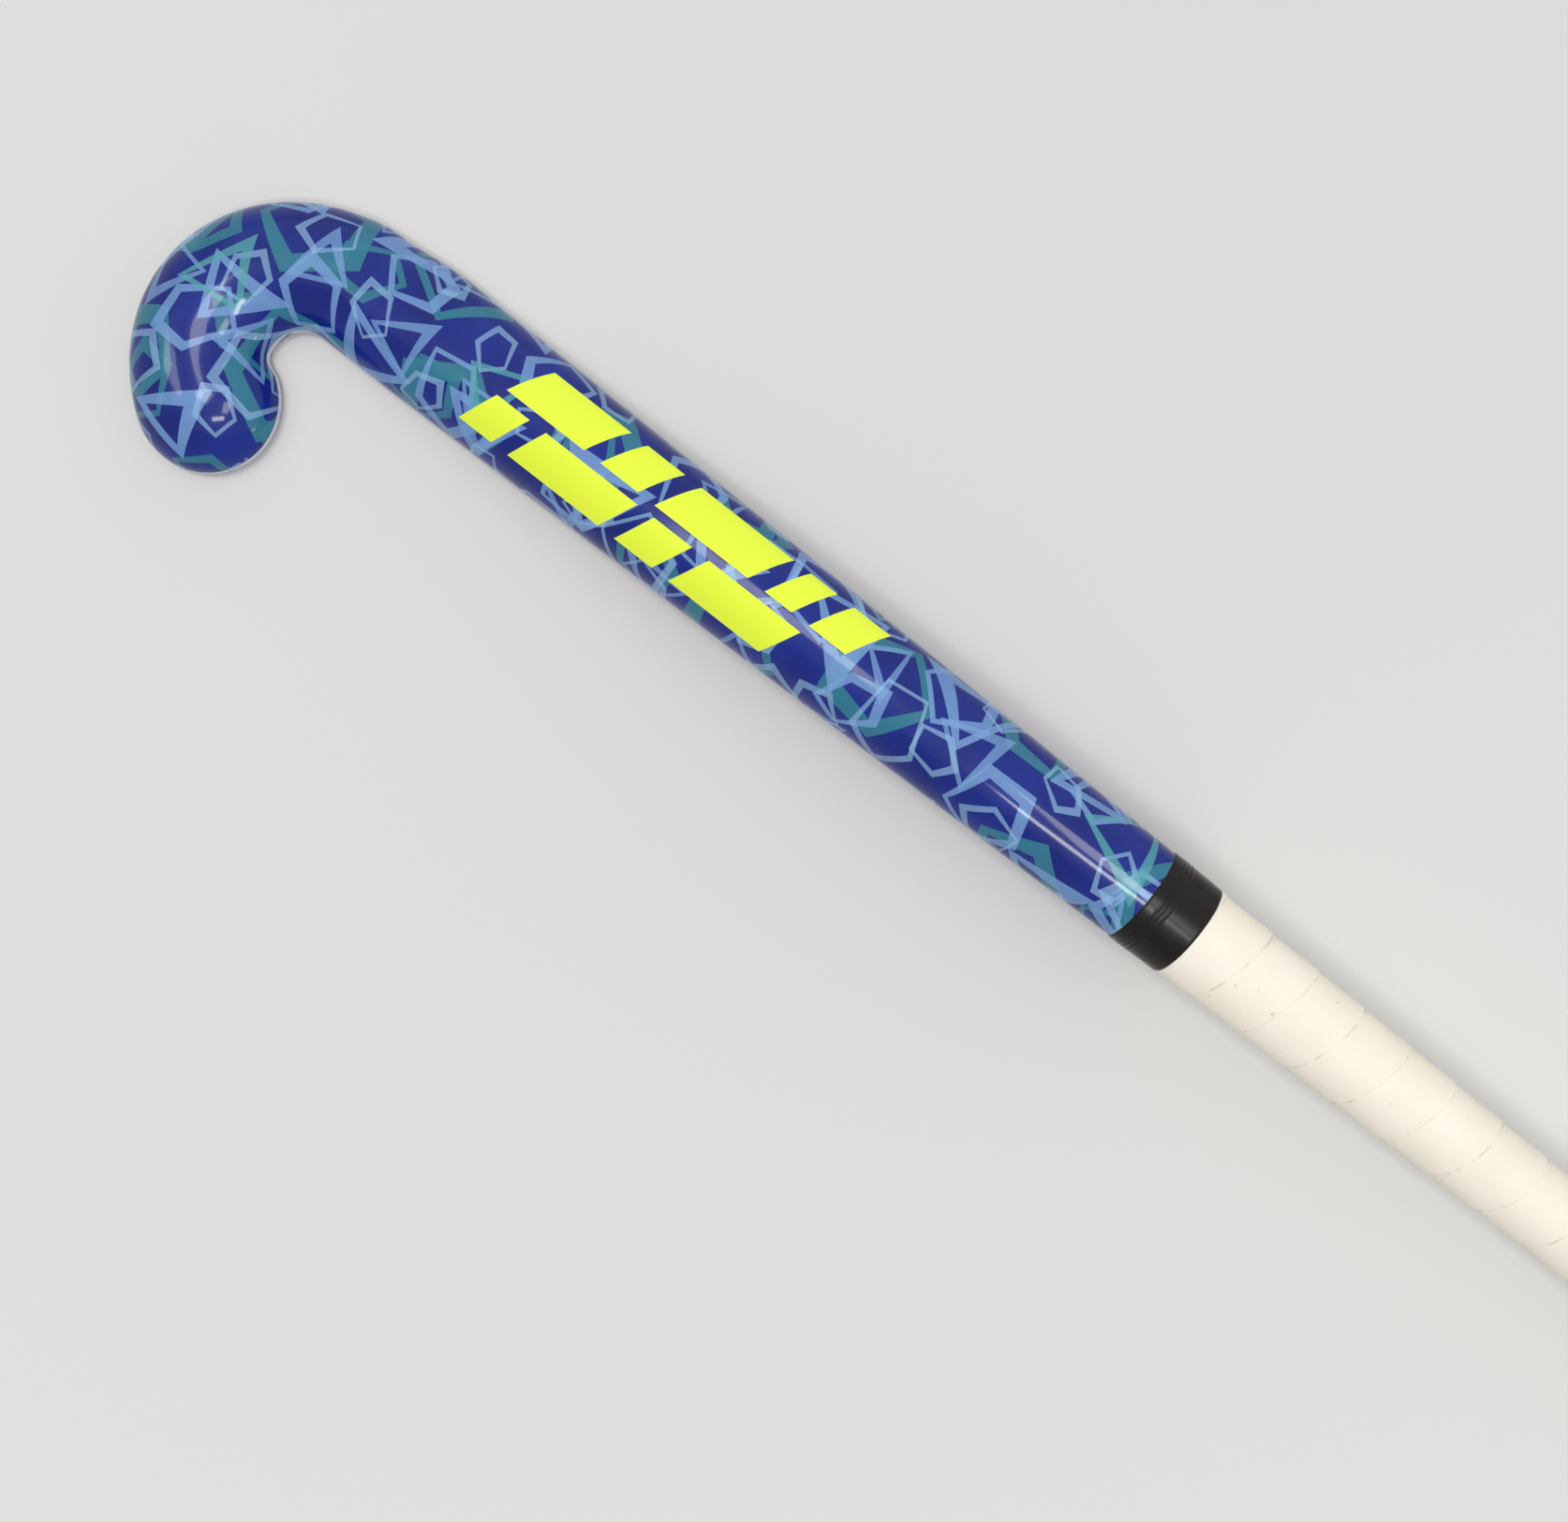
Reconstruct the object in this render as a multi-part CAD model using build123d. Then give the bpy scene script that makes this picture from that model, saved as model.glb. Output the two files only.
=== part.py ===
from build123d import *
import math
import os

# A moulded composite field hockey stick, lying on its flat playing face with the rounded back up.
# +X runs along the shaft towards the butt, +Z rises out of the rounded back, the toe curls to -Y.
# The origin lies on the playing face, on the shaft's centreline, where the hook begins.

# ---- finished outside (millimetres, degrees; distances along the shaft are from the base) ----
stick_length = 762.0          # base of the hook to the end of the butt cap: a 30 inch junior stick
throat_radius = 12.4          # inside bend between the shaft and the toe
hook_turn = 146.0             # how far the hook turns before the round toe begins
heel_width = 43.4             # across the hook on the heel side of the bend
base_width = 47.5             # across the hook once it has turned round the base
toe_bulge = 3.0               # the toe swells this far into the throat; its end is half a circle
bulge_start = 105.0           # where on the hook's turn that begins
hook_thickness = 21.0         # playing face to the crown of the back
shaft_width = 46.5            # just above the hook
shaft_thickness = 22.4
handle_width = 27.6           # the gripped handle, nearly round
handle_thickness = 27.2
butt_width = 28.8             # the handle swells a little towards the butt
shaft_start = 86.0            # where the straight taper of the shaft begins
handle_start = 556.0          # where that taper has run out
arris = 3.0                   # crisp edge of the playing face on the hook and the lower shaft
face_stock = 0.1              # moulded below the hook's playing face, then skimmed off flat
handle_arris_width = 10.2     # the same edge has grown into the round side of the handle
handle_arris_height = 13.0

# ---- bow: the arch of the shaft above the floor when the stick lies face down ----
bow_height = 18.0
bow_place = 330.0             # highest place of the bow
bow_start = 76.0              # the playing face is truly flat up to here
bow_end_slope = 0.06          # how steeply the handle comes down to the floor at the butt

# ---- laminate, tubes and cores ----
shell_wall = 4.2              # laminate of the hook and shaft
tube_wall = 1.2               # each of the two inner tubes; side by side they form the rib
cut_through = 1.0             # how far a cut runs past an open end
fit_gap = 0.2                 # between a core, tube or plug and the cavity that it fills
core_tail = 8.0               # how far the hook's foam core runs up into the shaft
handle_foam_length = 60.0     # foam between the tubes and the butt plug
plug_length = 42.0
plug_bore_radius = 4.0        # core hole that lightens the moulded plug
damper_width = 16.0           # rubber strip in the foam, behind the playing face
damper_thickness = 3.0
damper_margin = 14.0          # degrees of the hook's turn left free at each end of the strip

# ---- printed film, let into the rounded back ----
film_thickness = 0.25
film_gap = 0.05               # adhesive between the film and the laminate
bare_edge = 1.3               # laminate left showing above the arris, below the film's edge

# ---- tape band, grip and butt cap ----
band_start = 392.0
band_width = 19.5
band_thickness = 0.35
band_ridge_pitch = 2.6        # the band's lower turns end in fine steps this far apart
band_ridges = 3
band_step = 0.12
cushion_thickness = 0.7       # soft base layer under the wrap
wrap_thickness = 1.0
grip_gap = 0.05               # adhesive between the layers of the grip
cap_skirt = 9.0               # length of the butt cap's skirt along the handle
cap_end = 3.0                 # thickness of its closed end
cap_proud = 0.8               # how far the cap stands out from the grip
cap_round = 1.2

# ---- places that follow from these sizes ----
grip_stack = cushion_thickness + wrap_thickness + 2 * grip_gap
grip_start = band_start + band_width
cap_start = stick_length - cap_skirt - cap_end
handle_end = stick_length - cap_end
plug_start = handle_end - plug_length
tube_start = shaft_start + core_tail
tube_end = plug_start - handle_foam_length
throat_y = -(shaft_width / 2 + throat_radius)


def ease(share):
    share = min(max(share, 0.0), 1.0)
    return share * share * (3 - 2 * share)


def between(low, high, share):
    share = min(max(share, 0.0), 1.0)
    return low + (high - low) * share


def hook_inside(turn):
    """From the throat's centre out to the hook: a round throat until the toe bulges into it."""
    return throat_radius - toe_bulge * ease((turn - bulge_start) / (hook_turn - bulge_start))


def hook_outside(turn):
    """From the throat's centre to the far side: the hook is slimmest at the heel."""
    width = between(heel_width, base_width, ease((turn - 20) / 90))
    return throat_radius + width + ease(1 - turn / 20)


def outer_reach(turn):
    """How far the base side of the hook lies from the throat's centre along the stick."""
    return hook_outside(turn) * math.sin(math.radians(turn))


base_reach = max(outer_reach(turn) for turn in range(60, 121))      # origin to the base


def arch(along, low, high, start_rise, end_rise):
    """Smooth height between two places, with the rise over the whole span set at each end."""
    up = along * along * (3 - 2 * along)
    lead_in = along * (1 - along) ** 2
    lead_out = along * along * (along - 1)
    return low + (high - low) * up + start_rise * lead_in + end_rise * lead_out


def bow(distance):
    """Height of the playing face above the floor at a distance from the base."""
    if distance <= bow_start:
        return 0.0
    if distance <= bow_place:
        return arch((distance - bow_start) / (bow_place - bow_start), 0.0, bow_height, 0.0, 0.0)
    span = stick_length - bow_place
    return arch((distance - bow_place) / span, bow_height, cap_proud, 0.0, -bow_end_slope * span)


def shaft_shape(distance):
    """Width, thickness, arris width and arris height of the finished stick at a distance."""
    share = (distance - shaft_start) / (handle_start - shaft_start)
    width = between(shaft_width, handle_width, share)
    swell = (distance - handle_start) / (stick_length - handle_start)
    width += (butt_width - handle_width) * ease(swell)
    rounding = ease(share)
    return (
        width,
        between(shaft_thickness, handle_thickness, share),
        between(arris, handle_arris_width, rounding),
        between(arris, handle_arris_height, rounding),
    )


def hook_plane(turn, reach):
    """Upright plane across the hook; its x axis points out from the throat's centre."""
    angle = math.radians(turn)
    outward = Vector(-math.sin(angle), math.cos(angle), 0)
    along = Vector(math.cos(angle), math.sin(angle), 0)
    return Plane(origin=Vector(0, throat_y, 0) + outward * reach, x_dir=outward, z_dir=along)


def shaft_plane(distance, shift=0.0):
    """Upright plane across the shaft on the playing face, at a distance from the base."""
    place = (distance - base_reach, shift, bow(distance))
    return Plane(origin=place, x_dir=(0, 1, 0), z_dir=(1, 0, 0))


# ---- outlines across the stick: x across, y up from the playing face ----


def corners(shape, inset):
    """Half width, face height, widest height, crown height and arris width of an outline."""
    width, thickness, arris_width, arris_height = shape
    smallest = 0.6
    side = inset + max(arris_height - inset, smallest)
    return width / 2 - inset, inset, side, thickness - inset, max(arris_width - inset, smallest)


def right_side(shape, inset, middle=0.0):
    """Right half of the outline, from the face to the crown, as a list of edges."""
    half, face, side, crown, flat_end = corners(shape, inset)
    knee = half - flat_end
    rise = crown - side
    top = side + rise * math.sqrt(1 - (middle / half) ** 2)
    reach = math.degrees(math.acos(middle / half))
    return [
        Line((middle, face), (knee, face)),
        EllipticalCenterArc((knee, side), flat_end, side - face, -90, arc_size=90),
        EllipticalCenterArc((0, side), half, rise, 0, arc_size=reach),
    ], (middle, top), (middle, face)


def full_outline(shape, inset):
    half, face, side, crown, flat_end = corners(shape, inset)
    knee = half - flat_end
    return make_face([
        Line((-knee, face), (knee, face)),
        EllipticalCenterArc((knee, side), flat_end, side - face, -90, arc_size=90),
        EllipticalCenterArc((0, side), half, crown - side, 0, arc_size=90),
        EllipticalCenterArc((0, side), half, crown - side, 90, arc_size=90),
        EllipticalCenterArc((-knee, side), flat_end, side - face, 180, arc_size=90),
    ])


def half_outline(shape, inset, middle=0.0):
    edges, top, bottom = right_side(shape, inset, middle)
    return make_face(edges + [Line(top, bottom)])


def back_arc(shape, depth, low, side):
    """The back at a depth, on one side, from a height above the widest place up to the crown."""
    half, face, widest, crown, flat_end = corners(shape, 0.0)
    across, rise = half - depth, crown - depth - widest
    angle = math.degrees(math.asin(low / rise))
    foot = (side * across * math.cos(math.radians(angle)), widest + low)
    start = angle if side > 0 else 90
    return EllipticalCenterArc((0, widest), across, rise, start, arc_size=90 - angle), foot


def rebated_edges(shape, side):
    """One side of the laminate: above its bare edge the back is set in, as a seat for the film."""
    half, face, widest, crown, flat_end = corners(shape, 0.0)
    face -= stock(shape)
    knee = half - flat_end
    edge_angle = math.degrees(math.asin(bare_edge / (crown - widest)))
    arris_start, edge_start = (-90, 0) if side > 0 else (180, 180 - edge_angle)
    seat, foot = back_arc(shape, film_thickness, bare_edge, side)
    edge_top = back_arc(shape, 0.0, bare_edge, side)[1]
    return [
        Line((0, face), (side * knee, face)),
        EllipticalCenterArc((side * knee, widest), flat_end, widest - face, arris_start, arc_size=90),
        EllipticalCenterArc((0, widest), half, crown - widest, edge_start, arc_size=edge_angle),
        Line(edge_top, foot),
        seat,
    ]


def stock(shape):
    """Only the hook's outlines, all of one thickness, carry stock to be skimmed off."""
    return face_stock if shape[1] == hook_thickness else 0.0


def rebated_outline(shape):
    return make_face(rebated_edges(shape, 1) + rebated_edges(shape, -1))


def half_rebated_outline(shape):
    cut = Line((0, -stock(shape)), (0, shape[1] - film_thickness))
    return make_face(rebated_edges(shape, 1) + [cut])


def film_edges(shape, side):
    low = bare_edge + film_gap
    outer, outer_foot = back_arc(shape, 0.0, low, side)
    inner, inner_foot = back_arc(shape, film_thickness - film_gap, low, side)
    return [outer, Line(outer_foot, inner_foot), inner]


def film_outline(shape):
    return make_face(film_edges(shape, 1) + film_edges(shape, -1))


def half_film_outline(shape):
    crown = shape[1]
    cut = Line((0, crown), (0, crown - film_thickness + film_gap))
    return make_face(film_edges(shape, 1) + [cut])


# ---- bodies that follow the stick: each place is a plane across it and the outline's shape ----


def hook_places():
    """From the round toe back round the hook, then up the neck to the start of the shaft."""
    steps = 16
    places = []
    for step in range(steps + 1):
        turn = hook_turn * (1 - step / steps)
        inside, outside = hook_inside(turn), hook_outside(turn)
        plane = hook_plane(turn, (inside + outside) / 2)
        places.append((plane, (outside - inside, hook_thickness, arris, arris)))
    return places + [neck_place(0.5)]


def neck_place(share):
    """Between hook and shaft the throat side runs straight and the heel side eases out."""
    width = between(hook_outside(0) - throat_radius, shaft_width, ease(share))
    plane = shaft_plane(between(base_reach, shaft_start, share), (width - shaft_width) / 2)
    return plane, (width, between(hook_thickness, shaft_thickness, share), arris, arris)


def shaft_places(start, end):
    step_length = 14.0
    steps = max(2, round((end - start) / step_length))
    distances = [start + (end - start) * step / steps for step in range(steps + 1)]
    return [(shaft_plane(distance), shaft_shape(distance)) for distance in distances]


def follow(places, outline):
    return loft([plane * outline(shape) for plane, shape in places])


def round_toe(half_section):
    """The end of the toe: half of a section, turned half way round about an upright axis."""
    plane, shape = hook_places()[0]
    upright = Axis((plane.origin.X, plane.origin.Y, 0), (0, 0, 1))
    return revolve(plane * half_section(shape), upright, 180)


def with_hook(whole, half, end):
    """A body from the toe round the hook and up the shaft to a distance."""
    return follow(hook_places() + shaft_places(shaft_start, end), whole) + round_toe(half)


def sleeve(outer, inner, start, end):
    """A layer round the handle between two insets from the finished outside."""

    def ring(shape):
        return full_outline(shape, outer) - full_outline(shape, inner)

    return follow(shaft_places(start, end), ring)


def skim_cut():
    """Everything below the hook's playing face, which this leaves as a true plane."""
    across = 4 * hook_outside(hook_turn)
    block = Box(shaft_start + cut_through, across, 2, align=(Align.MAX, Align.CENTER, Align.MAX))
    return Pos(shaft_start - base_reach, 0, 0) * block


# ---- the pieces ----


def laminate_shell():
    lower = with_hook(rebated_outline, half_rebated_outline, grip_start)
    handle = follow(shaft_places(grip_start, handle_end), lambda shape: full_outline(shape, grip_stack))
    cavity = with_hook(
        lambda shape: full_outline(shape, shell_wall),
        lambda shape: half_outline(shape, shell_wall),
        handle_end + cut_through,
    )
    return lower - skim_cut() + handle - cavity


def inner_tube(side):
    """One of the two tubes that fill the shaft and meet in the rib along its middle."""
    outer = shell_wall + fit_gap
    inner = outer + tube_wall

    def ring(shape):
        tube = half_outline(shape, outer, fit_gap / 2)
        tube -= half_outline(shape, inner, fit_gap / 2 + tube_wall)
        return tube if side > 0 else tube.mirror(Plane.YZ)

    return follow(shaft_places(tube_start, tube_end), ring)


def damping_strip(clearance=0.0):
    """A bent rubber bar in the middle of the hook, lying on the laminate of the face."""
    middle = throat_radius + (heel_width + base_width) / 4
    width = damper_width + 2 * clearance
    low = shell_wall + fit_gap - clearance
    section = Rectangle(width, damper_thickness + 2 * clearance, align=(Align.CENTER, Align.MIN))
    first = damper_margin - math.degrees(clearance / middle)
    last = hook_turn - first
    bar = hook_plane(first, middle) * (Pos(0, low) * section)
    return revolve(bar, Axis((0, throat_y, 0), (0, 0, 1)), last - first)


def head_core():
    inset = shell_wall + fit_gap
    core = with_hook(
        lambda shape: full_outline(shape, inset), lambda shape: half_outline(shape, inset), tube_start
    )
    return core - damping_strip(fit_gap)


def filling(start, end, inset=shell_wall + fit_gap):
    """A solid that fills the cavity between two distances."""
    return follow(shaft_places(start, end), lambda shape: full_outline(shape, inset))


def handle_foam():
    return filling(tube_end + fit_gap, plug_start - fit_gap)


def butt_plug():
    """Moulded plug in the open end of the handle, cored out from its lower end."""
    plug = filling(plug_start, handle_end)
    mouth = shaft_plane(plug_start)
    centre = shaft_shape(plug_start)[1] / 2
    depth = plug_length - cap_end
    return plug - extrude(mouth * (Pos(0, centre) * Circle(plug_bore_radius)), depth)


def butt_cap():
    """Rubber cup over the end of the handle, proud of the grip that runs up to its skirt."""

    cup = filling(cap_start, stick_length, -cap_proud)
    rims = cup.faces().sort_by(Axis.X)
    cup = fillet(rims[-1].outer_wire().edges(), cap_round)
    seat = grip_stack - grip_gap
    return cup - filling(cap_start - cut_through, handle_end, seat)


def cushion_sleeve():
    return sleeve(wrap_thickness + grip_gap, grip_stack - grip_gap, grip_start, cap_start)


def grip_wrap():
    return sleeve(0.0, wrap_thickness, grip_start, cap_start)


def finishing_tape():
    """Glossy tape over the joint of film and grip; its lower turns end in fine steps."""
    bottom = band_start + band_ridges * band_ridge_pitch
    tape = sleeve(-band_thickness, -grip_gap, bottom, grip_start)
    for ridge in range(band_ridges):
        start = band_start + ridge * band_ridge_pitch
        step = band_thickness - (band_ridges - ridge) * band_step / band_ridges
        tape += sleeve(-step, -grip_gap, start, start + band_ridge_pitch)
    return tape


def back_film():
    """Printed film over the whole rounded back, from the toe to the start of the grip."""
    return with_hook(film_outline, half_film_outline, grip_start)


pieces = {
    "laminate_shell": laminate_shell,
    "heel_side_tube": lambda: inner_tube(1),
    "toe_side_tube": lambda: inner_tube(-1),
    "head_core": head_core,
    "damping_strip": damping_strip,
    "handle_foam": handle_foam,
    "butt_plug": butt_plug,
    "butt_cap": butt_cap,
    "cushion_sleeve": cushion_sleeve,
    "grip_wrap": grip_wrap,
    "finishing_tape": finishing_tape,
    "back_film": back_film,
}

os.makedirs("parts", exist_ok=True)
for name, make in pieces.items():
    piece = make()
    piece.label = name
    export_step(piece, f"parts/{name}.step")
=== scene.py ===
import math

import bpy
from mathutils import Matrix, Vector


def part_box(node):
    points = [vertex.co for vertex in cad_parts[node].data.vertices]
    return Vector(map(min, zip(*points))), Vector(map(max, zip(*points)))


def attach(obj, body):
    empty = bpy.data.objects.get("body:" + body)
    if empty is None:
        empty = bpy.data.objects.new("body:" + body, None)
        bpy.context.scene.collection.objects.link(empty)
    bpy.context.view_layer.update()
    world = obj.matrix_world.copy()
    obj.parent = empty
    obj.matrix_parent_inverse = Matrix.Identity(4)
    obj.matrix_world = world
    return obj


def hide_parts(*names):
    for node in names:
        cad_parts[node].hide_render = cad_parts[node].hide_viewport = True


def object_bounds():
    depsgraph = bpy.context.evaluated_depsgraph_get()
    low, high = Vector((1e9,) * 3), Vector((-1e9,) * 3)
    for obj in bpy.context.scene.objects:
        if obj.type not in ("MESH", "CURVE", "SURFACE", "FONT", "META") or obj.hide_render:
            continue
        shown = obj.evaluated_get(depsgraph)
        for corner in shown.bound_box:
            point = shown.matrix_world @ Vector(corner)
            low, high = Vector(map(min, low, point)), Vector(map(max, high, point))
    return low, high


# A field hockey stick, lying on its flat face. Metres; +X runs up the shaft, +Z out of the rounded back.

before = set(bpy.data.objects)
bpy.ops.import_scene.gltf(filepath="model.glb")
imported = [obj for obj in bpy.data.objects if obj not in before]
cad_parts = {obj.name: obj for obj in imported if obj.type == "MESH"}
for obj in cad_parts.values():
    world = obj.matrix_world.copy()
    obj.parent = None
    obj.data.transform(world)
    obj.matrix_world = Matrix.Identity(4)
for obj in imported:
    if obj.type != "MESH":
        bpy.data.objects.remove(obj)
cad_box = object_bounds()


# ---- shader maths ----


class Value:
    """A socket that Python's own operators can work on; each operation adds its Math node."""

    def __init__(self, nodes, socket):
        self.nodes = nodes
        self.socket = socket

    def math(self, operation, *others):
        values = dict(enumerate((self,) + others))
        return self.nodes.add("Math", {"operation": operation}, values)

    def __add__(self, other):
        return self.math("ADD", other)

    __radd__ = __add__

    def __mul__(self, other):
        return self.math("MULTIPLY", other)

    __rmul__ = __mul__

    def __sub__(self, other):
        return self.math("SUBTRACT", other)

    def __rsub__(self, other):
        return self * -1 + other

    def __lt__(self, other):
        return self.math("LESS_THAN", other)

    def __gt__(self, other):
        return self.math("GREATER_THAN", other)

    def __abs__(self):
        return self.math("ABSOLUTE")

    def highest(self, other):
        return self.math("MAXIMUM", other)

    def floor(self):
        return self.math("FLOOR")


class Nodes:
    """A shader's node tree, and the one way in which nodes are added to it."""

    def __init__(self, tree):
        self.tree = tree

    def feed(self, socket, value):
        if isinstance(value, Value):
            self.tree.links.new(value.socket, socket)
        elif isinstance(value, tuple) and len(value) == 3 and socket.type == "RGBA":
            socket.default_value = value + (1.0,)
        else:
            socket.default_value = value

    def add(self, kind, settings, sockets, output=0):
        node = self.tree.nodes.new("ShaderNode" + kind)
        for name, value in settings.items():
            setattr(node, name, value)
        for name, value in sockets.items():
            self.feed(node.inputs[name], value)
        return Value(self, node.outputs[output])

    def mix(self, factor, low, high):
        return self.add("MixRGB", {}, {"Fac": factor, "Color1": low, "Color2": high})


class Finish(Nodes):
    """One piece's material: a Principled shader and the nodes that feed it."""

    def __init__(self, name, color, roughness, **surface):
        self.material = bpy.data.materials.new(name)
        self.material.use_nodes = True
        super().__init__(self.material.node_tree)
        self.shader = self.tree.nodes["Principled BSDF"]
        self.set(base_color=color, roughness=roughness, **surface)

    def set(self, **surface):
        # base_color feeds Base Color, and specular_ior_level feeds Specular IOR Level
        for name, value in surface.items():
            socket = name.replace("_", " ").title().replace("Ior", "IOR")
            self.feed(self.shader.inputs[socket], value)


# ---- the finished outside of the stick (metres, degrees; distances along it are from the base) ----

MM = 0.001
stick_length = 762 * MM
throat_radius = 12.4 * MM     # inside bend between the shaft and the toe
hook_turn = 146.0             # how far the hook turns before the round toe begins
heel_width = 43.4 * MM        # across the hook where it is slimmest
base_width = 47.5 * MM        # across the hook at the base
heel_turn = 20.0              # where on the hook's turn it is slimmest
widening_turn = 90.0          # how much further round it has its full width
heel_gain = 1.0 * MM          # and how much wider it is where the shaft ends
toe_bulge = 3.0 * MM          # the toe swells this far into the throat
bulge_start = 105.0           # where on the hook's turn that begins
hook_thickness = 21.0 * MM
shaft_width = 46.5 * MM
shaft_thickness = 22.4 * MM
handle_width = 27.6 * MM
handle_thickness = 27.2 * MM
butt_width = 28.8 * MM
shaft_start = 86.0 * MM
handle_start = 556.0 * MM
arris = 3.0 * MM              # crisp edge of the playing face
handle_arris_width = 10.2 * MM        # the same edge where it is the handle's round side
handle_arris_height = 13.0 * MM
bow_height = 18.0 * MM        # the shaft's arch above the floor
bow_place = 330.0 * MM        # its highest place
bow_start = 76.0 * MM         # the playing face is flat up to here
bow_end = 0.8 * MM            # height of the handle's low side at the butt
bow_end_slope = 0.06          # and how steeply it comes down there

base_reach = -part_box("laminate_shell")[0].x      # from the origin back to the base of the hook
throat_y = -(shaft_width / 2 + throat_radius)
grip_low, grip_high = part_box("grip_wrap")
band_low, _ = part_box("finishing_tape")
grip_start = grip_low.x + base_reach
grip_end = grip_high.x + base_reach
band_start = band_low.x + base_reach
touching = 0.01 * MM          # closer than this, two points are one
crisp_angle = 40              # edges that turn more than this stay crisp
hook_steps, neck_steps, shaft_steps = 60, 10, 130


def ease(share):
    """An S-shaped rise from 0 to 1."""
    share = min(max(share, 0.0), 1.0)
    return share * share * (3 - 2 * share)


def between(low, high, share):
    """From low to high, by a share that is kept from 0 to 1."""
    return low + (high - low) * min(max(share, 0.0), 1.0)


def hook_inside(turn):
    """From the throat's centre out to the hook."""
    return throat_radius - toe_bulge * ease((turn - bulge_start) / (hook_turn - bulge_start))


def hook_outside(turn):
    """From the throat's centre out to the hook's far side."""
    width = between(heel_width, base_width, ease((turn - heel_turn) / widening_turn))
    return throat_radius + width + heel_gain * ease(1 - turn / heel_turn)


def arch(along, low, high, end_rise):
    """Smooth height between two places, level at the first; end_rise is slope times span at the second."""
    up = along * along * (3 - 2 * along)
    return low + (high - low) * up + end_rise * along * along * (along - 1)


def bow(distance):
    """Height of the playing face above the floor."""
    if distance <= bow_start:
        return 0.0
    if distance <= bow_place:
        return arch((distance - bow_start) / (bow_place - bow_start), 0.0, bow_height, 0.0)
    span = stick_length - bow_place
    return arch((distance - bow_place) / span, bow_height, bow_end, -bow_end_slope * span)


def shaft_shape(distance):
    """Width, thickness, arris width and arris height."""
    share = (distance - shaft_start) / (handle_start - shaft_start)
    swell = ease((distance - handle_start) / (stick_length - handle_start))
    rounding = ease(share)
    return (
        between(shaft_width, handle_width, share) + (butt_width - handle_width) * swell,
        between(shaft_thickness, handle_thickness, share),
        between(arris, handle_arris_width, rounding),
        between(arris, handle_arris_height, rounding),
    )


def hook_place(turn):
    """Middle of the hook on the playing face, the way out from the throat, and the outline's shape."""
    angle = math.radians(turn)
    outward = Vector((-math.sin(angle), math.cos(angle), 0))
    inside, outside = hook_inside(turn), hook_outside(turn)
    middle = Vector((0, throat_y, 0)) + outward * ((inside + outside) / 2)
    return middle, outward, (outside - inside, hook_thickness, arris, arris)


def neck_place(share):
    """The same where the hook grows into the shaft."""
    width = between(hook_outside(0) - throat_radius, shaft_width, ease(share))
    x = between(base_reach, shaft_start, share) - base_reach
    middle = Vector((x, (width - shaft_width) / 2, bow(x + base_reach)))
    thickness = between(hook_thickness, shaft_thickness, share)
    return middle, Vector((0, 1, 0)), (width, thickness, arris, arris)


def shaft_place(distance):
    """The same for the shaft and handle, at a distance from the base."""
    middle = Vector((distance - base_reach, 0, bow(distance)))
    return middle, Vector((0, 1, 0)), shaft_shape(distance)


def back_places():
    """Even places from the round toe round the hook and up the shaft to the grip."""
    hook = [hook_place(hook_turn * (1 - step / hook_steps)) for step in range(hook_steps)]
    neck = [neck_place(step / neck_steps) for step in range(neck_steps)]
    shares = [step / shaft_steps for step in range(shaft_steps + 1)]
    shaft = [shaft_place(between(shaft_start, grip_start, share)) for share in shares]
    return hook + neck + shaft


def back_point(shape, angle):
    """Across and up, at an angle round the rounded back: 0 is its foot on the heel side, 90 the crown."""
    width, thickness, _, arris_height = shape
    rise = thickness - arris_height
    return width / 2 * math.cos(math.radians(angle)), arris_height + rise * math.sin(math.radians(angle))


def round_reach(shape, angle):
    """From the middle at the widest height out to the whole outline, at an angle from the heel side."""
    width, thickness, arris_width, arris_height = shape
    across, up = abs(math.cos(angle)), math.sin(angle)
    if up >= 0:
        return 1 / math.hypot(across / (width / 2), up / (thickness - arris_height))
    knee = width / 2 - arris_width
    reach = arris_height / -up
    if reach * across <= knee:
        return reach
    square = (across / arris_width) ** 2 + (up / arris_height) ** 2
    middle = across * knee / arris_width ** 2
    rest = (knee / arris_width) ** 2 - 1
    return (middle + math.sqrt(middle ** 2 - square * rest)) / square


def on_handle(distance, angle, proud):
    """A point round the handle, proud of its finished outside; angle 0 faces the heel side."""
    middle, outward, shape = shaft_place(distance)
    reach = round_reach(shape, angle) + proud
    up = shape[3] + reach * math.sin(angle)
    return middle + outward * (reach * math.cos(angle)) + Vector((0, 0, up))


# ---- modelling ----


def select_only(piece):
    if bpy.context.object and bpy.context.object.mode == "EDIT":
        bpy.ops.object.mode_set(mode="OBJECT")
    bpy.ops.object.select_all(action="DESELECT")
    bpy.context.view_layer.objects.active = piece
    piece.select_set(True)


def edit_all(piece):
    select_only(piece)
    bpy.ops.object.mode_set(mode="EDIT")
    bpy.ops.mesh.select_all(action="SELECT")


def end_edit():
    bpy.ops.object.mode_set(mode="OBJECT")


def flat_sheet(name, rows, columns):
    """A flat grid, one metre each way, whose UV map keeps each vertex's place in it."""
    bpy.ops.object.select_all(action="DESELECT")
    bpy.ops.mesh.primitive_grid_add(
        x_subdivisions=rows, y_subdivisions=columns, size=1, location=(0, 0, 0)
    )
    sheet = bpy.context.object
    sheet.name = name
    return sheet


def lay_sheet(sheet, place):
    """Bends a flat sheet: each vertex goes to place(along, across), both from 0 to 1."""
    for vertex in sheet.data.vertices:
        vertex.co = place(vertex.co.x + 0.5, vertex.co.y + 0.5)
    sheet.data.update()


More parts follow.
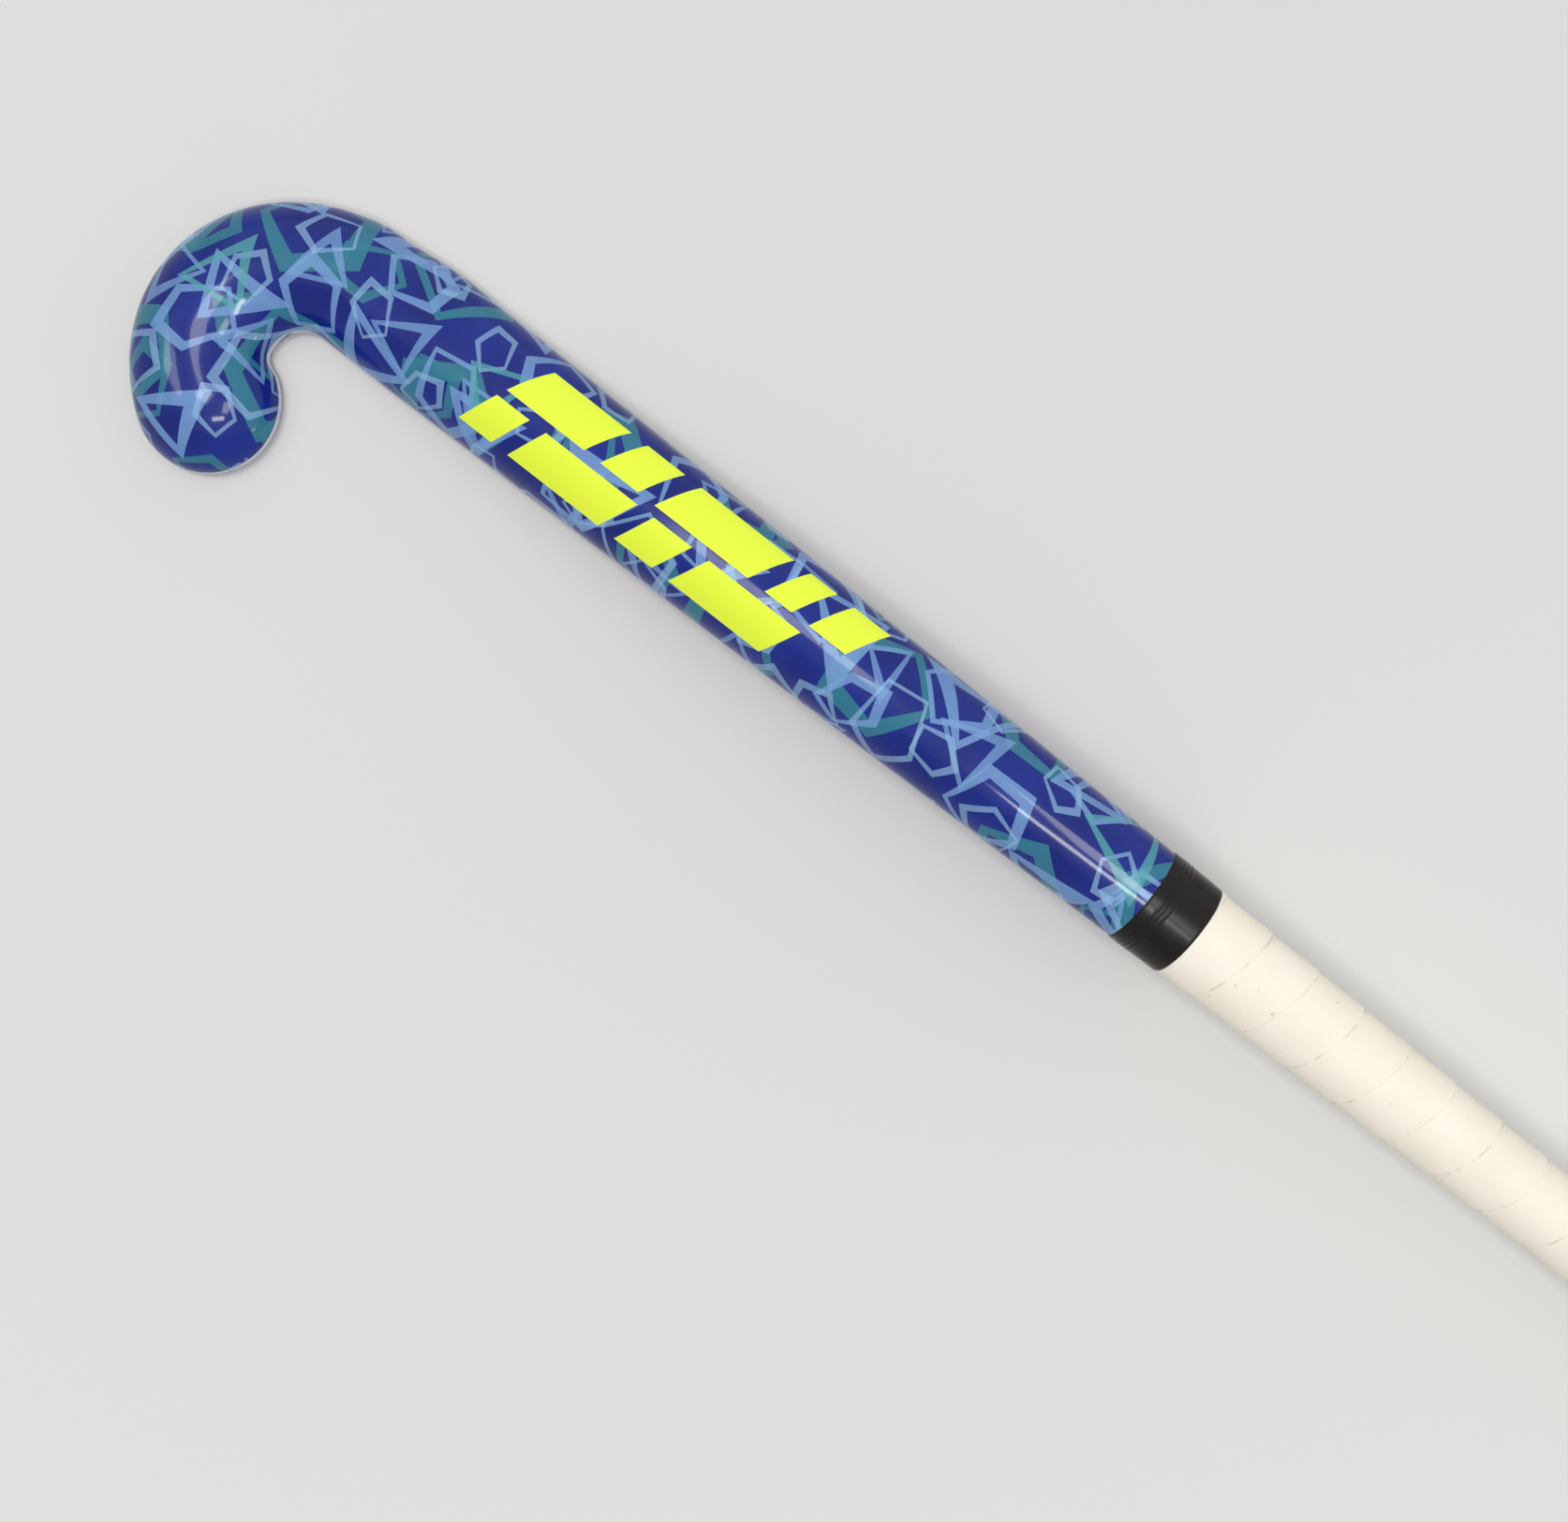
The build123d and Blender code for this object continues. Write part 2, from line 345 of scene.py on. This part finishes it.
def modify(piece, kind, **settings):
    modifier = piece.modifiers.new(kind.lower(), kind)
    for name, value in settings.items():
        setattr(modifier, name, value)
    select_only(piece)
    bpy.ops.object.modifier_apply(modifier=modifier.name)


def thicken(piece, thickness):
    """Gives an outside skin its thickness, inwards."""
    edit_all(piece)
    bpy.ops.mesh.normals_make_consistent(inside=False)
    end_edit()
    modify(piece, "SOLIDIFY", thickness=thickness, offset=-1)


def trim(piece, x, keep_above):
    """Cuts a piece square across the stick and keeps one side."""
    edit_all(piece)
    bpy.ops.mesh.bisect(
        plane_co=(x, 0, 0), plane_no=(1, 0, 0), clear_inner=keep_above, clear_outer=not keep_above
    )
    end_edit()


def put_on(piece, finish, node):
    """Finishes a piece that is shown in place of a plain node."""
    select_only(piece)
    bpy.ops.object.shade_smooth_by_angle(angle=math.radians(crisp_angle))
    piece.data.materials.clear()
    piece.data.materials.append(finish.material)
    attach(piece, "root")
    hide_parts(node)


# ---- the printed film over the rounded back ----

film_thickness = 0.2 * MM
film_foot = 1.35 * MM         # the film's edge lies this far above the widest height
film_columns = 64
toe_steps = 48
length_steps = 16


def film_skin():
    """The printed film from the round toe to the grip, with each point's place in the print."""
    places = back_places()
    last = len(places) - 1
    skin = flat_sheet("film_skin", last, film_columns)
    foot = math.degrees(math.asin(film_foot / (hook_thickness - arris)))
    printed = skin.data.attributes.new("print_place", "FLOAT_VECTOR", "POINT")
    spots = []

    def place(along, across):
        middle, outward, shape = places[round(along * last)]
        x, up = back_point(shape, between(foot, 180 - foot, across))
        spots.append(print_spot(middle, outward, shape, x))
        return middle + outward * x + Vector((0, 0, up))

    lay_sheet(skin, place)
    for value, spot in zip(printed.data, spots):
        value.vector = spot
    spin_round_toe(skin, places[0])
    print_round_toe(skin, places[0])
    thicken(skin, film_thickness)
    return skin


def back_length(shape, x):
    """Length round the back from the crown to a distance across."""
    half, rise = shape[0] / 2, shape[1] - shape[3]
    end = math.asin(min(abs(x) / half, 1.0))
    angles = [end * (step + 0.5) / length_steps for step in range(length_steps)]
    return sum(math.hypot(half * math.cos(a), rise * math.sin(a)) for a in angles) * end / length_steps


def print_spot(middle, outward, shape, x):
    """A point's place in the print: x and y with the back rolled out flat, z how far in from the rim."""
    length = back_length(shape, x)
    rim = back_length(shape, shape[0] / 2) - length
    flat = middle + outward * math.copysign(length, x)
    return flat.x, flat.y, rim


def spin_round_toe(skin, end):
    """Turns half of the film's end profile half way round the toe's upright axis."""
    middle, outward, shape = end
    toe_way = Vector((-outward.y, outward.x, 0))
    edit_all(skin)
    bpy.ops.mesh.select_all(action="DESELECT")
    end_edit()
    for vertex in skin.data.vertices:
        offset = vertex.co - middle
        at_end = abs(offset.dot(toe_way)) < touching and offset.length < shape[0]
        vertex.select = at_end and offset.dot(outward) > -touching
    bpy.ops.object.mode_set(mode="EDIT")
    bpy.ops.mesh.spin(steps=toe_steps, angle=-math.pi, center=middle, axis=(0, 0, 1))
    bpy.ops.mesh.select_all(action="SELECT")
    bpy.ops.mesh.remove_doubles(threshold=touching)
    end_edit()


def print_round_toe(skin, end):
    """Gives the spun toe its own places in the print."""
    middle, outward, shape = end
    toe_way = Vector((-outward.y, outward.x, 0))
    printed = skin.data.attributes["print_place"].data
    for vertex in skin.data.vertices:
        offset = vertex.co - middle
        offset.z = 0
        on_toe = offset.dot(toe_way) > -touching and offset.length < shape[0] / 2 + MM
        if on_toe and offset.length > touching:
            spot = print_spot(middle, offset.normalized(), shape, offset.length)
            printed[vertex.index].vector = spot


# ---- the tape between film and grip ----

tape_proud = 0.35 * MM
tape_thickness = 0.3 * MM
tape_curl = 0.8 * MM          # how far in from each edge it is turned down
ridge_places = (4.2 * MM, 5.7 * MM, 7.4 * MM)
ridge_height = 0.16 * MM
ridge_width = 0.35 * MM
tape_rows, tape_columns = 90, 128


def tape_height(distance):
    """The tape lies flat but for its curled edges and a few fine ridges near the film."""
    into = distance - band_start
    ridges = sum(math.exp(-(((into - ridge) / ridge_width) ** 2)) for ridge in ridge_places)
    from_edge = min(into, grip_start - distance)
    return tape_proud * ease(from_edge / tape_curl) + ridge_height * ridges


def wound_tape():
    """The tape round the joint of film and grip."""
    tape = flat_sheet("wound_tape", tape_rows, tape_columns)
    length = grip_start - band_start

    def place(along, across):
        distance = band_start + along * length
        return on_handle(distance, 2 * math.pi * across, tape_height(distance))

    lay_sheet(tape, place)
    edit_all(tape)
    bpy.ops.mesh.remove_doubles(threshold=touching)
    end_edit()
    thicken(tape, tape_thickness)
    return tape


# ---- the wound grip ----

wrap_pitch = 19.3 * MM        # how far the ribbon climbs in one turn
wrap_lap = 4.0 * MM           # each turn lies this far over the one nearer the butt
ribbon_thickness = 0.55 * MM
first_turn = 2.06             # turns of the winding that lie before the grip's start
spare_turns = 3               # more turns than fill the grip; both ends are trimmed off
tucked_depth = 0.55 * MM      # how deep the edge under the next turn lies
edge_lift = 0.38 * MM         # how far the ribbon climbs on to the turn below it
crown = 0.16 * MM             # and bulges over its cushion
sunk = 0.2 * MM               # by how much its open part is pulled in
turn_rows, ribbon_columns = 80, 18


def ribbon_height(across):
    """How proud the ribbon lies, from its headward edge at 0 to its butt edge, on top, at 1."""
    lap = wrap_lap / (wrap_pitch + wrap_lap)
    if across < lap:
        return -tucked_depth
    rest = (across - lap) / (1 - lap)
    return edge_lift * ease((rest - 0.5) / 0.45) + crown * math.sin(math.pi * rest) - sunk


def wound_ribbon():
    """One ribbon wound down from the butt, each turn over the last, cut off square at both ends."""
    turns = math.ceil((grip_end - grip_start) / wrap_pitch) + spare_turns
    ribbon = flat_sheet("wound_ribbon", turns * turn_rows, ribbon_columns)
    width = wrap_pitch + wrap_lap

    def place(along, across):
        winding = along * turns
        distance = grip_start + wrap_pitch * (winding - first_turn) + across * width
        return on_handle(distance, -2 * math.pi * winding, ribbon_height(across))

    lay_sheet(ribbon, place)
    thicken(ribbon, ribbon_thickness)
    trim(ribbon, grip_low.x, True)
    trim(ribbon, grip_high.x, False)
    return ribbon


# ---- finishes ----


def spot_xyz(finish, name):
    """The piece's own attribute, as three values."""
    vector = finish.add("Attribute", {"attribute_name": name}, {}, "Vector")
    return [finish.add("SeparateXYZ", {}, {"Vector": vector}, axis) for axis in range(3)]


def object_xyz(finish):
    """The place on the piece, as three values."""
    vector = finish.add("TexCoord", {}, {}, "Object")
    return [finish.add("SeparateXYZ", {}, {"Vector": vector}, axis) for axis in range(3)]


def speckle(finish, scale, detail=3.0):
    """Cloudy noise between 0 and 1 over the piece."""
    vector = finish.add("TexCoord", {}, {}, "Object")
    return finish.add("TexNoise", {}, {"Vector": vector, "Scale": scale, "Detail": detail}, "Fac")


def soften(finish, value, low, high):
    """0 below low, 1 above high, and an even rise between."""
    sockets = {"Value": value, "From Min": low, "From Max": high}
    return finish.add("MapRange", {"clamp": True}, sockets)


def relief(finish, height, strength, distance):
    """Raises and sinks the surface's look by a height."""
    sockets = {"Height": height, "Strength": strength, "Distance": distance}
    finish.set(normal=finish.add("Bump", {}, sockets))


def angular_frames(finish, x, y, seed, cell, sides, reach, line, share):
    """Scattered open frames with three or five sides, one at most in each cell, turned at random."""
    # every layer's cells have a slope and a start of their own
    lean = math.radians(seed * 37)
    across = (x * math.cos(lean) + y * math.sin(lean)) * (1 / cell) + seed * 0.37
    up = (y * math.cos(lean) - x * math.sin(lean)) * (1 / cell) + seed * 0.71
    column, row = across.floor(), up.floor()
    square = finish.add("CombineXYZ", {}, {"X": column, "Y": row, "Z": float(seed)})
    chance = finish.add("TexWhiteNoise", {"noise_dimensions": "3D"}, {"Vector": square}, "Value")
    color = finish.add("TexWhiteNoise", {"noise_dimensions": "3D"}, {"Vector": square}, "Color")
    first, second, third = [finish.add("SeparateColor", {}, {"Color": color}, part) for part in range(3)]
    corner = 2 if sides == 3 else 1.24      # how many times further out a corner lies than a side
    # a frame that doesn't lean keeps its corners in its cell, and it moves only in the room left
    room = max(0.0, 1 - 2 * reach * corner)
    over = across - column - 0.5 - (first - 0.5) * room
    high = up - row - 0.5 - (second - 0.5) * room
    turn = third * (2 * math.pi)
    cosine, sine = turn.math("COSINE"), turn.math("SINE")
    py = high * cosine - over * sine
    # it leans and is narrowed by chance, so its cell may cut off the tip of a leaning one
    px = abs(over * cosine + high * sine + py * (first * 0.5 - 0.25)) * (second * 0.4 + 1)
    # how far the spot lies from the middle, towards the nearest side: the level one, or a sloping
    # one, which is the same on the left as on the right
    sloping = [30] if sides == 3 else [-18, 54]
    distance = py * -1
    for slope in sloping:
        side = px * math.cos(math.radians(slope)) + py * math.sin(math.radians(slope))
        distance = distance.highest(side)
    # sizes vary, and the line grows thicker away from the level side
    size = (chance * 0.35 + 0.65) * reach
    width = (py * (0.7 / reach) + 1.15) * (line / cell)
    return (distance < size) * (distance > size - width) * (first < share)


def rim_left(finish, x):
    """How much of the pale rim is shown, a bare edge partly painted as a glint: all of it on the hook, none
    on the upper shaft.
    """
    return 1 - soften(finish, x, 50 * MM, 170 * MM)


periwinkle = (0.19, 0.355, 0.665)
pale_blue = (0.31, 0.52, 0.79)
teal = (0.03, 0.20, 0.28)
mint = (0.09, 0.36, 0.40)
scatter = 25                  # another number scatters the frames another way
# cell and line in mm, and the reach from a frame's middle as a share of the cell:
# cell, sides, reach, line width, share of cells with a frame, tint, strength
frame_layers = [
    (54, 5, 0.38, 4.6, 0.85, teal, 0.85),
    (43, 5, 0.38, 3.0, 0.60, teal, 0.80),
    (47, 3, 0.25, 3.8, 0.95, periwinkle, 0.74),
    (40, 5, 0.38, 2.8, 0.90, periwinkle, 0.72),
    (38, 3, 0.25, 2.2, 0.75, periwinkle, 0.64),
    (45, 5, 0.38, 1.9, 0.60, pale_blue, 0.50),
    (31, 5, 0.37, 1.7, 0.60, pale_blue, 0.50),
    (50, 3, 0.25, 2.4, 0.45, mint, 0.70),
]
# two rows of slanted blocks: lowest and highest y, then where each block starts and ends, in mm
block_slant = 0.5
block_rows = [
    (1.6 * MM, 17.5 * MM, [(66, 99), (106, 122), (129, 168), (175, 186), (193, 208)]),
    (-16.5 * MM, -1.6 * MM, [(66, 80), (87, 126), (133, 149), (156, 194)]),
]
block_yellow = (0.84, 0.99, 0.05)
rim_width = 2.2 * MM
# the silver of the bare rim and edge, partly a painted glint
silver_edge_and_glint = (0.62, 0.64, 0.68)
edge_foot = 2.6 * MM          # the laminate's pale edge, bare and partly a painted glint, starts this far above the playing face
edge_height = 2.0 * MM
deep_blue, bright_blue = (0.001, 0.010, 0.17), (0.003, 0.021, 0.255)


def printed_film():
    """High-gloss blue with overlapping pale frames, bright slanted bars, and a pale rim: a bare edge,
    partly a painted glint.
    """
    finish = Finish(
        "printed_film", (0.005, 0.02, 0.24), 0.28,
        specular_ior_level=0.08, coat_weight=0.42, coat_roughness=0.08,
    )
    x, y, rim = spot_xyz(finish, "print_place")
    cloud = soften(finish, speckle(finish, 45.0), 0.35, 0.7)
    color = finish.mix(cloud, deep_blue, bright_blue)
    for seed, (cell, sides, reach, line, share, tint, strength) in enumerate(frame_layers, scatter):
        mask = angular_frames(finish, x, y, seed, cell * MM, sides, reach, line * MM, share)
        color = finish.mix(mask * strength, color, tint)
    slanted = x - y * block_slant
    blocks = 0
    for low, high, edges in block_rows:
        row = (y > low) * (y < high)
        for start, end in edges:
            blocks = row * (slanted > start * MM) * (slanted < end * MM) + blocks
    color = finish.mix(blocks, color, block_yellow)
    # painted glint: the pale rim stands partly for light caught on the edge, and the noise breaks it up
    edge_breaks = speckle(finish, 160.0, 4.0)
    bare_edge_and_glint = (rim < rim_left(finish, x) * rim_width) * soften(finish, edge_breaks, 0.30, 0.42)
    color = finish.mix(bare_edge_and_glint, color, silver_edge_and_glint)
    scuffs = soften(finish, speckle(finish, 900.0, 6.0), 0.62, 0.75)
    finish.set(base_color=color, roughness=scuffs * 0.12 + 0.26)
    relief(finish, speckle(finish, 75.0, 2.0), 0.22, 0.0008)
    return finish


def lacquered_laminate():
    """Blue lacquer over the playing face; its narrow edge beside the film is bare and silvery, and partly a
    painted glint.
    """
    finish = Finish(
        "lacquered_laminate", (0.01, 0.014, 0.26), 0.28,
        specular_ior_level=0.1, coat_weight=0.42, coat_roughness=0.08,
    )
    x, _, z = object_xyz(finish)
    along = ((x + (base_reach - bow_start)) * (1 / (bow_place - bow_start))).highest(0.0)
    rise = along * along * (3 - 2 * along) * bow_height
    height = z - rise
    # painted glint: the pale edge band stands partly for light caught on the edge, and the noise breaks it
    # up
    edge = (height > edge_foot) * (height < rim_left(finish, x) * edge_height + edge_foot)
    edge_breaks = soften(finish, speckle(finish, 160.0, 4.0), 0.30, 0.42)
    cloud = soften(finish, speckle(finish, 40.0), 0.35, 0.7)
    blue = finish.mix(cloud, (0.001, 0.010, 0.16), (0.003, 0.020, 0.24))
    scuffs = soften(finish, speckle(finish, 700.0, 6.0), 0.60, 0.78)
    finish.set(base_color=finish.mix(edge * edge_breaks, blue, silver_edge_and_glint), roughness=scuffs * 0.2 + 0.24)
    relief(finish, speckle(finish, 90.0, 2.0), 0.05, 0.0005)
    return finish


def grip_cloth():
    """Cream ribbon, softly creased, darker along each turn's edge: painted shade in the step, and faint
    grime.
    """
    finish = Finish("grip_ribbon", (0.78, 0.75, 0.66), 0.7)
    place = finish.add("UVMap", {"uv_map": "UVMap"}, {})
    across = finish.add("SeparateXYZ", {}, {"Vector": place}, 1)
    cloud = soften(finish, speckle(finish, 60.0, 4.0), 0.3, 0.75)
    color = finish.mix(cloud, (0.92, 0.865, 0.72), (0.96, 0.91, 0.78))
    grime_and_shade = soften(finish, speckle(finish, 210.0, 3.0), 0.48, 0.66)
    # painted shade and grime: each turn's top edge is darkened where it steps down to the next turn
    seam = soften(finish, across, 0.965, 0.995)
    color = finish.mix(seam * (grime_and_shade * 0.5 + 0.05), color, (0.36, 0.31, 0.25))
    spots = soften(finish, speckle(finish, 330.0, 1.0), 0.75, 0.80)
    color = finish.mix(spots * 0.35, color, (0.40, 0.35, 0.30))
    finish.set(base_color=color, roughness=cloud * 0.12 + 0.62)
    creases = speckle(finish, 420.0, 5.0) * 0.5 + speckle(finish, 1500.0, 2.0) * 0.5
    relief(finish, creases, 0.35, 0.0004)
    return finish


def black_tape():
    """Glossy black vinyl with a faint drag along the winding."""
    finish = Finish(
        "black_tape", (0.006, 0.005, 0.004), 0.32,
        specular_ior_level=0.12, coat_weight=0.22, coat_roughness=0.2,
    )
    smear = speckle(finish, 260.0, 4.0)
    finish.set(
        base_color=finish.mix(smear, (0.003, 0.002, 0.001), (0.007, 0.005, 0.003)),
        roughness=soften(finish, smear, 0.3, 0.8) * 0.14 + 0.25,
    )
    relief(finish, speckle(finish, 340.0, 2.0), 0.08, 0.0004)
    return finish


def grained(name, dark, light, roughness, scale, depth):
    """A plain moulded, foamed or rubber finish: two close shades and a fine grain."""
    finish = Finish(name, dark, roughness)
    grain = speckle(finish, scale, 4.0)
    finish.set(
        base_color=finish.mix(grain, dark, light),
        roughness=grain * 0.2 + (roughness - 0.1),
    )
    relief(finish, grain, 0.4, depth)
    return finish


put_on(film_skin(), printed_film(), "back_film")
put_on(wound_tape(), black_tape(), "finishing_tape")
put_on(wound_ribbon(), grip_cloth(), "grip_wrap")

tube_laminate = grained("tube_laminate", (0.02, 0.02, 0.022), (0.05, 0.05, 0.055), 0.5, 500.0, 0.0002)
core_foam = grained("core_foam", (0.66, 0.58, 0.36), (0.80, 0.73, 0.52), 0.85, 1200.0, 0.0004)
node_finishes = {
    "laminate_shell": lacquered_laminate(),
    "heel_side_tube": tube_laminate,
    "toe_side_tube": tube_laminate,
    "head_core": core_foam,
    "handle_foam": core_foam,
    "damping_strip": grained("damper_rubber", (0.03, 0.03, 0.033), (0.06, 0.06, 0.065), 0.8, 900.0, 0.0002),
    "butt_plug": grained("plug_plastic", (0.10, 0.10, 0.11), (0.14, 0.14, 0.15), 0.45, 800.0, 0.0001),
    "butt_cap": grained("cap_rubber", (0.012, 0.012, 0.013), (0.03, 0.03, 0.03), 0.55, 1400.0, 0.0002),
    "cushion_sleeve": grained("cushion_foam", (0.10, 0.10, 0.11), (0.16, 0.16, 0.17), 0.9, 1500.0, 0.0003),
}
for name, finish in node_finishes.items():
    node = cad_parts[name]
    node.data.materials.clear()
    node.data.materials.append(finish.material)

# ---- floor, light and camera ----

lamp_height = 1.5
lamp_glow = 0.36              # how bright the lamps make the floor below them


def seen_rays(nodes):
    """1 for what is looked at, mirrored or seen through, 0 for what only lights the stick."""
    looked_at = nodes.add("LightPath", {}, {}, "Is Camera Ray")
    mirrored = nodes.add("LightPath", {}, {}, "Is Glossy Ray")
    seen_through = nodes.add("LightPath", {}, {}, "Is Transmission Ray")
    return looked_at.highest(mirrored).highest(seen_through)


bpy.ops.object.select_all(action="DESELECT")
bpy.ops.mesh.primitive_plane_add(size=14.0, location=(0.2, 0.0, cad_box[0].z - 0.3 * MM))
floor = bpy.context.object
floor.name = "floor"
pale = Finish("floor_paint", (0.72, 0.71, 0.69), 0.9, specular_ior_level=0.2, emission_strength=1.0)
# the lamps reach less of the floor further away; it glows by what is missing, so that it looks even
floor_x, floor_y, _ = object_xyz(pale)
away = (floor_x * floor_x + floor_y * floor_y) * (1 / lamp_height ** 2)
lamps_reach = (away + 1).math("POWER", -2.0)
unlit = (1 - lamps_reach) * seen_rays(pale)
pale.set(emission_color=pale.mix(unlit, (0.0, 0.0, 0.0), (lamp_glow, lamp_glow, lamp_glow)))
floor.data.materials.append(pale.material)


def soft_light(name, place, aim, size, power):
    """A square-edged soft lamp, turned towards its aim."""
    data = bpy.data.lights.new(name, "AREA")
    data.shape = "RECTANGLE"
    data.size, data.size_y = size
    data.energy = power
    lamp = bpy.data.objects.new(name, data)
    lamp.location = place
    lamp.rotation_euler = (Vector(aim) - Vector(place)).to_track_quat("-Z", "Y").to_euler()
    bpy.context.collection.objects.link(lamp)


def sky_light(name, place, strength, spread):
    """Even light from one side of the sky, towards the origin."""
    data = bpy.data.lights.new(name, "SUN")
    data.energy = strength
    data.angle = math.radians(spread)
    lamp = bpy.data.objects.new(name, data)
    lamp.location = place
    lamp.rotation_euler = Vector(place).to_track_quat("Z", "Y").to_euler()
    bpy.context.collection.objects.link(lamp)


sky_light("key_light", (0.2, 0.8, lamp_height), 1.0, 130)
soft_light("overhead_light", (-0.22, 0.0, lamp_height), (-0.05, 0.0, 0.0), (0.38, 0.46), 4.6)
soft_light("shaft_light", (0.6, -0.36, lamp_height), (0.4, -0.1, 0.0), (0.42, 0.14), 4.2)
soft_light("crown_light", (0.6, 0.1, lamp_height), (0.35, 0.0, 0.0), (0.38, 0.25), 3.0)
soft_light("left_light", (-1.1, -0.5, lamp_height), (0.0, 0.0, 0.0), (0.2, 0.5), 2.0)
soft_light("side_light", (1.7, 0.05, 0.3), (0.0, -0.05, 0.0), (0.16, 0.12), 0.7)

fill_strength = 0.25          # how strongly the sky lights the stick; it is seen at full strength
world = bpy.context.scene.world or bpy.data.worlds.new("studio")
bpy.context.scene.world = world
world.use_nodes = True
studio = Nodes(world.node_tree)
seen = seen_rays(studio)
background = studio.tree.nodes["Background"]
studio.feed(background.inputs["Color"], studio.mix(seen, (0.93, 0.95, 1.0), (0.73, 0.72, 0.70)))
studio.feed(background.inputs["Strength"], seen * (1 - fill_strength) + fill_strength)

camera_data = bpy.data.cameras.new("camera")
camera_data.sensor_width = 36.0
camera_data.lens = 36.56
camera = bpy.data.objects.new("camera", camera_data)
bpy.context.collection.objects.link(camera)
eye = Vector((0.21928, -0.00654, 0.54989))
aim = Vector((0.2141, -0.0397, 0.0))
heading = math.radians(38.2)
forward = (aim - eye).normalized()
right = Vector((math.cos(heading), math.sin(heading), 0.0))
right = (right - forward * right.dot(forward)).normalized()
up = right.cross(forward)
turn = Matrix((right, up, -forward)).transposed().to_4x4()
camera.matrix_world = Matrix.Translation(eye) @ turn
bpy.context.scene.camera = camera
bpy.context.scene.view_settings.view_transform = "Standard"
